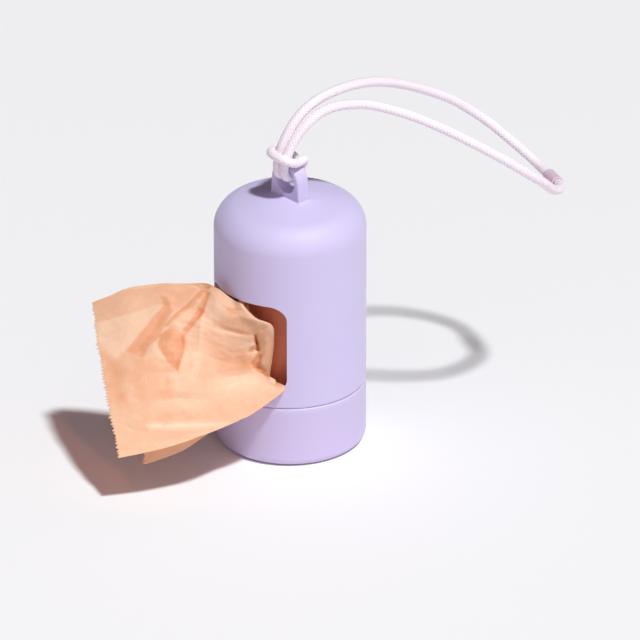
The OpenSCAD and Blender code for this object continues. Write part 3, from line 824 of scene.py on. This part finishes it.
# Nine rows of points on each ply, from the roll out to the torn end, and seven points in
# each, from the upper edge to the lower
front_net = np.array([
    -1.9, -15.8, 49.4, -0.9, -15.9, 43.1, 5, -15.2, 41.3, 5.3, -15, 37.4, 5, -15.2, 32.7, 4.3,
    -15.3, 27.9, 5.6, -14.9, 25.2, 3.1, -22.9, 52.4, 7.3, -21.3, 48.3, 11.1, -18.6, 46.1, 10.6,
    -17.4, 40.2, 9.9, -17.3, 34.9, 9.9, -18.1, 27.5, 15.2, -17.1, 26.7, -0.3, -24.2, 53.5, 2.9,
    -24, 47.7, 7, -21.8, 43.4, 7.2, -20.8, 39.2, 7.5, -21.5, 35.5, 8.4, -22.4, 31.5, 13.9,
    -23.2, 23.2, -4.4, -25.9, 55.6, -1.7, -26.9, 49.8, 1.5, -26.8, 42.9, 3, -26.6, 38.4, 5,
    -27.3, 34.4, 7.9, -28.1, 29.1, 12.4, -29.2, 20.8, -8.1, -27.4, 55.2, -5.5, -29.4, 49.6,
    -2.2, -30.2, 43.8, 0.5, -30.3, 38.5, 3.7, -31.1, 33.3, 7.9, -31.4, 27.3, 11.7, -32, 20.4,
    -13.4, -29.8, 54.7, -9.6, -32, 49.7, -5.5, -33.6, 44.9, -2, -34.5, 38.8, 2.6, -35.3, 32.8,
    7.3, -35.9, 26.4, 11.3, -35.3, 20, -22.3, -34.2, 52.6, -17.2, -37.3, 49.9, -12, -40, 45.8,
    -6.6, -42.1, 40.2, -1.2, -43.7, 33.8, 4.6, -44.5, 26.8, 10.2, -44.7, 19.6, -30.8, -38.8,
    49.7, -24.9, -43, 47.9, -18.6, -46.8, 43.9, -12.4, -49.9, 38.3, -6.4, -52.8, 32.5, -0.7,
    -55.1, 25.1, 4.6, -57.1, 17.4, -38.8, -43.8, 45, -32.4, -48.9, 42.7, -26, -53.7, 38.4,
    -19.7, -57.9, 33.5, -13.6, -61.8, 28.5, -8, -65.2, 22.2, -2.8, -68.1, 15.6,
]).reshape(9, 7, 3)
back_net = np.array([
    -1.9, -16.2, 49.1, -0.2, -16.3, 43.5, 4, -15.8, 40.8, 4.3, -15.7, 36.9, 4, -15.8, 32.5, 3.6,
    -15.9, 27.8, 4.6, -15.6, 25.4, 0.9, -22, 51.3, 4.9, -20.9, 47, 8.2, -18.4, 44.3, 7.9, -17.3,
    39.1, 7.3, -17, 33.8, 7.2, -17.4, 29, 11.6, -17.6, 27.6, -2.1, -23.2, 52.3, 1.1, -23, 46,
    4.6, -21.4, 42.1, 4.9, -20.5, 37.9, 5.1, -21.2, 34.2, 6, -22, 30.2, 10.8, -22.6, 23.5, -6,
    -24.7, 54.7, -3.3, -25.7, 48.4, -0.1, -25.6, 41.6, 1.4, -25.4, 37.1, 3.3, -26.1, 33.4, 5.9,
    -26.9, 28.3, 9.7, -28.2, 21.1, -9.7, -25.6, 55.2, -6.8, -27.7, 48.6, -3.4, -28.6, 42.5,
    -0.9, -28.9, 37.2, 2.2, -29.5, 32.2, 6, -30, 26.7, 9.6, -30.6, 20.9, -15.3, -28, 54.1,
    -11.2, -30.4, 48.6, -6.7, -31.9, 43.5, -3.2, -32.9, 37.8, 1, -33.8, 32, 5.6, -34.2, 25.8,
    9.3, -33.7, 19.6, -24, -32.2, 52.2, -18.9, -35.2, 48.2, -13.6, -37.6, 44, -8, -39.4, 38.4,
    -2.5, -40.8, 31.9, 3.2, -41.5, 24.9, 8.6, -41.8, 18.5, -32.1, -36.7, 49.3, -26.3, -40.4,
    46.1, -20.2, -43.5, 41.8, -13.9, -46.1, 36, -7.8, -48.4, 30.1, -1.8, -49.8, 22.1, 5, -49.9,
    14, -39, -40.7, 44, -32.1, -44.2, 40.7, -25.2, -47.4, 36.1, -18.3, -50, 30.8, -11.5, -52.2,
    24.5, -5.5, -54.5, 17.1, -2.3, -58.6, 10,
]).reshape(9, 7, 3)


def through(net, u, v):
    """The smooth surface through a net of points, at each u along it and v across it.

    Along each way it is the uniform cubic whose slope at a point is half the step from
    the point before to the point after.
    """
    def weights(t, count):
        """How much each of the count points adds to the surface at each t, 0 to 1."""
        i = np.minimum((t * (count - 1)).astype(int), count - 2)
        t = t * (count - 1) - i
        w = np.stack([-t + 2 * t**2 - t**3, 2 - 5 * t**2 + 3 * t**3,
                      t + 4 * t**2 - 3 * t**3, -(t**2) + t**3], -1) / 2
        table = np.zeros((len(t), count))
        for k in range(4):
            np.add.at(table, (np.arange(len(t)), np.clip(i + k - 1, 0, count - 1)), w[:, k])
        return table

    return np.einsum("ia,jb,abc->ijc", weights(u, net.shape[0]), weights(v, net.shape[1]), net)


# The film's front plane, in which its creases are laid out: to the right, and upwards
plane_right = np.array([0.7071, 0.7071, 0.0])
plane_up = np.array([-0.321, 0.321, 0.891])
film_face = unit(np.array([0.57, -0.41, 0.71]))
# From here to there in that plane, the widths left and right of that way, and the height
film_folds = np.array([
    [-57.8, 33, -37.7, 39.2, 5.9, 17.8, -1.2],
    [-25.8, 37.4, -26.1, 18.5, 2.7, 2.7, 0.5],
    [-10.4, 17.9, -25.2, 16.4, 6.5, 7.1, -1.1],
    [-41.5, 1.3, -16.1, 3.1, 1.8, 3.6, 0.5],
    [-5.4, 32.7, -19, 34.2, 3.3, 2.4, 0.7],
    [-21.4, 31.5, -12.5, 28.9, 0.9, 1.2, -0.6],
    [-12.5, 28.9, -6, 31.5, 0.9, 0.9, -0.5],
    [-7.2, 29.2, -7.2, 17.6, 2.4, 2.4, 1.3],
    [-10.2, 29.2, -9, 23.8, 1.0, 1.2, -1.3],
    [-9, 23.8, -9.6, 19.1, 0.9, 1.2, -0.8],
    [-11.9, 21.2, -5.7, 17, 1.2, 1.2, -0.9],
    [-12.2, 23.8, -9.3, 25.3, 0.9, 0.9, -0.5],
    [-8.4, 26.8, -11.9, 25.3, 0.9, 0.9, 0.5],
    [-11.3, 19.7, -8.4, 21.5, 0.9, 0.9, 0.5],
    [-18.4, 41.9, -6.6, 34.2, 3.8, 3.8, -1.3],
    [-35, 17.3, -34.7, 12, 0.9, 0.9, 0.25],
    [-37.1, 10.8, -21.4, 9.9, 1.5, 1.5, -0.35],
])
# Tone, width of its soft edge, height, width of its slope, and outline of each facet, as
# the place to the right and the place upwards of one corner after another. The tone is
# painted shade where it is above 0 and painted light where it is below 0: it darkens the
# film's colour where its folds lie in shade and pales it where they catch the light
film_facets = [
    (0.6, 0.7, -0.45, 2.2, [-38, 40.6, -36.4, 39.9, -34.4, 36, -36.4, 33, -38, 28.8, -41.3, 25.4,
     -42.9, 22.2, -48.3, 24.4, -42.9, 30.6, -40.3, 34.4, -37.4, 37.5]),
    (0.75, 0.6, 0.35, 2.4, [-34.8, 31.5, -30.7, 29.1, -30.6, 25.5, -32.8, 18.2, -36.4, 21.8,
     -38.9, 25.5, -37.8, 29.2]),
    (0.35, 0.6, 0, 1, [-32.2, 29.4, -30.6, 28.8, -30.7, 25.1, -32.8, 18, -33.5, 20.6, -31.7,
     24.7]),
    (0.85, 0.6, -0.35, 0.9, [-24.5, 41.8, -23.2, 41.4, -25.4, 35.1, -28.3, 31.5, -30.6, 28.9,
     -31.7, 30.1, -28.3, 34.4, -26.3, 38.3]),
    (0.78, 0.6, 0.4, 0.9, [-25.8, 42.5, -24.5, 42.1, -28.3, 37.5, -32.4, 34.4, -36, 31.4, -37,
     31.5, -34, 34.8, -29.9, 38.3]),
    (-0.1, 2, -0.2, 3, [-57.9, 37.5, -52.7, 40.5, -46.6, 41.8, -38.6, 40.2, -39.7, 38, -48.6,
     35.3, -57.5, 32.3]),
    (0.25, 1.6, -0.3, 2, [-36.4, 41.7, -26.3, 42.6, -29.9, 38.5, -34.4, 36, -36.4, 39.9]),
    (-0.8, 0.8, 0.15, 4.5, [-57.3, 32.4, -48.6, 35.1, -39.7, 37.9, -37.4, 37.6, -40.3, 34.4,
     -48.3, 24.4, -50.6, 22.3, -52.7, 23.3, -56.3, 27.1]),
    (0.42, 3.2, -0.3, 3.2, [-55.3, 22.9, -52.7, 22.9, -50, 20.6, -47.4, 18.6, -48.6, 14.2, -47.4,
     7.7, -52.7, 10.1, -54.1, 15.8]),
    (0.3, 4, 0, 3, [-47.4, 18.6, -39.7, 20.6, -34.8, 18.2, -34.8, 10.1, -41.3, 8.9, -44.5, 11.7]),
    (0.42, 2.6, -0.45, 3, [-24, 27.1, -15.3, 25.5, -11.5, 23.9, -11.5, 19.8, -14.9, 17.6, -20.2,
     18.6, -23, 22.3]),
    (0.35, 2, 0, 1.2, [-15.3, 22.3, -11.5, 22.7, -11, 19, -14.9, 17.6]),
    (0.3, 1.4, -0.15, 2.2, [-24.2, 32.3, -19.8, 33, -14.9, 34.4, -10.8, 33, -6.8, 31.5, -7.2,
     30.2, -10.8, 29.2, -14.9, 29.8, -19.8, 31]),
    (0.25, 1, -0.2, 1.1, [-19, 37.5, -14.5, 36.9, -14.9, 34.8, -17.7, 34.4, -19.4, 35.7]),
    (0.45, 0.8, 0.3, 2.4, [-8.6, 29.8, -6.2, 30.6, -4.8, 28.8, -4.6, 23.9, -5.6, 16.8, -7.2, 18.6,
     -8, 23.9]),
    (1, 0.6, -0.35, 0.8, [-10.5, 29.2, -9.5, 29.1, -8.8, 26.3, -8.7, 23.9, -9.4, 23.9, -10.2,
     26.3]),
    (0.9, 0.6, -0.3, 0.9, [-9.5, 23.9, -8, 23.1, -8.4, 20.2, -6, 17.3, -6.4, 16.3, -9.6, 18.6,
     -11.5, 20.6]),
    (0.55, 0.6, -0.3, 0.6, [-12.5, 24.5, -10.4, 26.1, -10, 25.1, -11.5, 23.3]),
    (-0.5, 4, 0.3, 3.5, [-23, 16.4, -11.7, 17.7, -6.8, 15.8, -9.6, 11.7, -16.9, 10.9, -21.8,
     12.5]),
    (-1, 0.9, 0.25, 1.6, [-42.3, 2.6, -32.4, 2.9, -17.1, 3.2, -19.8, 2.1, -31.5, 0.8, -40.5,
     1.1]),
    (0.22, 3, 0, 3, [-38, 6.6, -16.9, 6, -16.9, 3.2, -43.3, 3.1, -43.7, 4.8]),
    (-0.35, 1.6, 0.35, 1.4, [-27.2, 33.2, -25.5, 32.8, -25.8, 23.9, -26.3, 15.8, -28.3, 16.6,
     -27.7, 23.9]),
    (-0.3, 1.6, 0.3, 2, [-23.4, 42.2, -20.2, 40.5, -19.4, 35.7, -21.8, 33.6, -25.1, 32.8, -24.2,
     37.3]),
    (-0.25, 0.6, 0.3, 1.4, [-39.7, 27.5, -38.5, 25.5, -36.4, 21.8, -38, 21.5, -42.9, 22.2, -41.3,
     25.4]),
    (0.15, 0.6, 0, 2.4, [-46.6, 22.3, -38, 21.5, -32.8, 18, -39.7, 18.2, -45.3, 18.6]),
    (-0.15, 0.6, 0.35, 2.2, [-30.6, 23.9, -28.3, 22.7, -27.1, 19.8, -29.9, 18.6, -32.4, 18.6]),
    # Painted shadow: the film coloured dark red-brown at its upper edge beside the shell, where it
    # lies in the shell's shadow
    (1.1, 0.5, 0, 1, [-26.3, 44.2, -22.3, 44.6, -23, 43.2, -23.9, 42.4, -25.1, 42.9]),
    (0.55, 0.4, 0, 1, [-10.4, 28.8, -9.8, 29.1, -9, 26.3, -8.8, 24.1, -9.3, 24.1, -10, 26.3]),
    (0.5, 0.5, 0, 1, [-10.4, 18.6, -9.2, 18.6, -6, 17.2, -5.9, 16.3, -6.8, 16.5, -9.2, 18]),
    (0.5, 0.5, 0, 1, [-19.4, 31, -16.1, 30.5, -13.3, 29.9, -10.4, 29.4, -6.8, 30.5, -7, 30, -10.6,
     28.8, -14.9, 29.5, -19, 30.5]),
    (0.35, 0.5, 0, 1, [-19, 36.9, -15.7, 36.7, -14.9, 35.1, -17.7, 34.5, -18.6, 35.7]),
]


def creased(points, folds):
    """How far the film stands out at each point, in mm, from a list of folds.

    A fold runs from one place to another. Across it the film falls away from the ridge
    in two flat faces of their own widths, from a crest that is rounded a little. Along
    it the ridge fades at both ends, over a share of its length that begins past the end.
    """
    crest, past, fade = 0.15, 0.12, 0.35
    right, up = points @ plane_right, points @ plane_up
    height = np.zeros(points.shape[:2])
    for x0, y0, x1, y1, left_w, right_w, tall in folds:
        length = np.hypot(x1 - x0, y1 - y0)
        tx, ty = (x1 - x0) / length, (y1 - y0) / length
        ahead = ((right - x0) * tx + (up - y0) * ty) / length
        aside = -(right - x0) * ty + (up - y0) * tx
        fall = np.sqrt(aside**2 + crest**2) - crest
        face = np.clip(1 - fall / np.where(aside > 0, left_w, right_w), 0, 1)
        ends = np.clip(np.minimum(ahead + past, 1 + past - ahead) / fade, 0, 1)
        height += tall * face * ends
    return height


def fine_folds(count, seed):
    """Short, low folds in places by chance, most of them running towards the window.

    Each is 3 to 9 mm long and runs at the angle to the window plus a chance of about half
    a radian. Its two faces are 0.4 to 1.3 mm wide, and it is up to 0.2 mm high or deep.
    """
    rng = np.random.default_rng(seed)
    start = np.stack([rng.uniform(-56, -8, count), rng.uniform(-2, 42, count)], -1)
    way = np.arctan2(22 - start[:, 1], 4 - start[:, 0]) + rng.normal(0, 0.5, count)
    size = rng.uniform(3, 9, count)
    end = start + size[:, None] * np.stack([np.cos(way), np.sin(way)], -1)
    sides, tall = rng.uniform(0.4, 1.3, (count, 2)), rng.uniform(-0.2, 0.2, (count, 1))
    return np.concatenate([start, end, sides, tall], 1)


def faceted(points, facets):
    """How far the film stands out in mm, and how dark its painted shade is, at each point.

    A facet is an outline in the film's plane. Inside it the film rises from all its sides
    at an even slope, as a hipped roof does, up to its height at one width from a side. Its
    tone, painted shade (painted light where it is below 0), comes in evenly over the width
    of its soft edge.
    """
    right, up = points @ plane_right, points @ plane_up
    height, tone = np.zeros(right.shape), np.zeros(right.shape)
    for dark, soft, rise, width, outline in facets:
        nearest, inside = np.full(right.shape, 1e9), np.zeros(right.shape, bool)
        corners = np.reshape(outline, (-1, 2))
        for (x0, y0), (x1, y1) in zip(corners, np.roll(corners, -1, axis=0)):
            dx, dy = x1 - x0, y1 - y0
            part = np.clip(((right - x0) * dx + (up - y0) * dy) / (dx**2 + dy**2), 0, 1)
            nearest = np.minimum(nearest, np.hypot(right - x0 - part * dx, up - y0 - part * dy))
            level = dy if dy else 1e-9
            inside ^= ((y0 > up) != (y1 > up)) & (right < x0 + (up - y0) * dx / level)
        depth = np.where(inside, nearest, -nearest)
        height += rise * np.clip(depth / width, 0, 1)
        tone += dark * np.clip(depth / soft + 0.5, 0, 1)
    return height, tone


def torn_ply(net, seed, rows, columns):
    """A ply of the film, and its painted shade: the net's surface, creased, and torn along its end.

    The end is drawn out by a row of triangles of chance sizes and widths, less half a
    millimetre, and by a slow wander. The rest is lifted along the film's face by its
    facets and folds, and by soft waves that come in where it has left the window.
    """
    v = np.linspace(0, 1, columns)
    u = np.linspace(0, 1, rows) ** 0.9
    rng = np.random.default_rng(seed)
    teeth = 56
    at = v * teeth + np.interp(v * teeth, np.arange(teeth + 1), rng.uniform(-0.3, 0.3, teeth + 1))
    tooth = np.abs(at % 1 - 0.5) * 2
    size = np.interp(v * teeth, np.arange(teeth + 1), rng.uniform(0.55, 1.3, teeth + 1))
    wander = np.interp(v * 9, np.arange(10), rng.uniform(-1, 1, 10))
    points = through(net, u, v)
    end = unit(points[-1] - points[-6])
    tear = (size * tooth - 0.5 + 0.22 * wander)[:, None] * end
    torn_from, torn_over, loose_from, loose_over = 0.965, 0.035, 0.28, 0.25
    pull = np.clip((u - torn_from) / torn_over, 0, 1)[:, None, None]
    points = points + tear[None] * pull
    loose = np.clip((u - loose_from) / loose_over, 0, 1)[:, None]
    a, b = u[:, None] * film_length, v[None, :] * film_width
    soft = 0.35 * ripples(a, b, seed + 1, 10, 14.0) + 0.1 * ripples(a, b, seed + 2, 12, 4.5)
    rise, tone = faceted(points, film_facets)
    folds = np.concatenate([film_folds, fine_folds(70, seed)])
    lift = creased(points, folds) + rise + soft * loose
    return points + lift[:, :, None] * film_face, tone


film, tree, shader = finish_of("bag_film", Roughness=0.46, Specular_IOR_Level=0.3)
place = spot(tree)
skin = add(tree, "Group", {"Place": place}, node_tree=film_skin)
normal = bumped(tree, shader, skin.outputs["Height"], 0.0003, 0.3)
# Painted shade and light: the map's X carries the facets' tone, and the ramp's last, dark red-brown
# stop is painted shade deep in the folds and in the shell's shadow
dark = calc(tree, "MULTIPLY_ADD", on_map(tree)["X"], 0.35, 0.25)
dark = calc(tree, "MULTIPLY_ADD", skin.outputs["Tone"], 0.3, dark)
ramped(
    tree, shader, dark, (0, shade(251, 235, 208)), (0.4, shade(244, 212, 180)),
    (0.75, shade(232, 170, 124)), (1, shade(132, 48, 24)),
)
passed = add(tree, "BsdfTranslucent", {"Color": shade(252, 196, 142), "Normal": normal})
both = add(tree, "MixShader", {0: 0.3, 1: shader.outputs[0], 2: passed.outputs[0]})
clear = add(tree, "BsdfTransparent", {"Color": shade(255, 186, 146)})
lamp_ray = calc(tree, "MULTIPLY", add(tree, "LightPath").outputs["Is Shadow Ray"], 0.3)
seen = add(tree, "MixShader", {0: lamp_ray, 1: both.outputs[0], 2: clear.outputs[0]})
tree.links.new(seen.outputs[0], tree.nodes["Material Output"].inputs["Surface"])

# The back ply's tone is shifted 0.8 paler: painted light, for the light that comes through the
# front ply onto it
plies = [("bag_front_ply", front_net, 21, 0.0), ("bag_back_ply", back_net, 34, -0.8)]
for name, net, seed, painted_shade_shift in plies:
    points, tone = torn_ply(net, seed, 130, 350)
    painted_shade_map = np.stack([(tone + painted_shade_shift).clip(-1, 1.7), 0 * tone], -1)
    ply = grid_mesh(name, [(points, painted_shade_map)], film)
    body = ply.modifiers.new("thickness", "SOLIDIFY")
    body.thickness, body.offset = film_thick * 0.001, 0.0
    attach(ply, "housing")
    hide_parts("lead_bag")
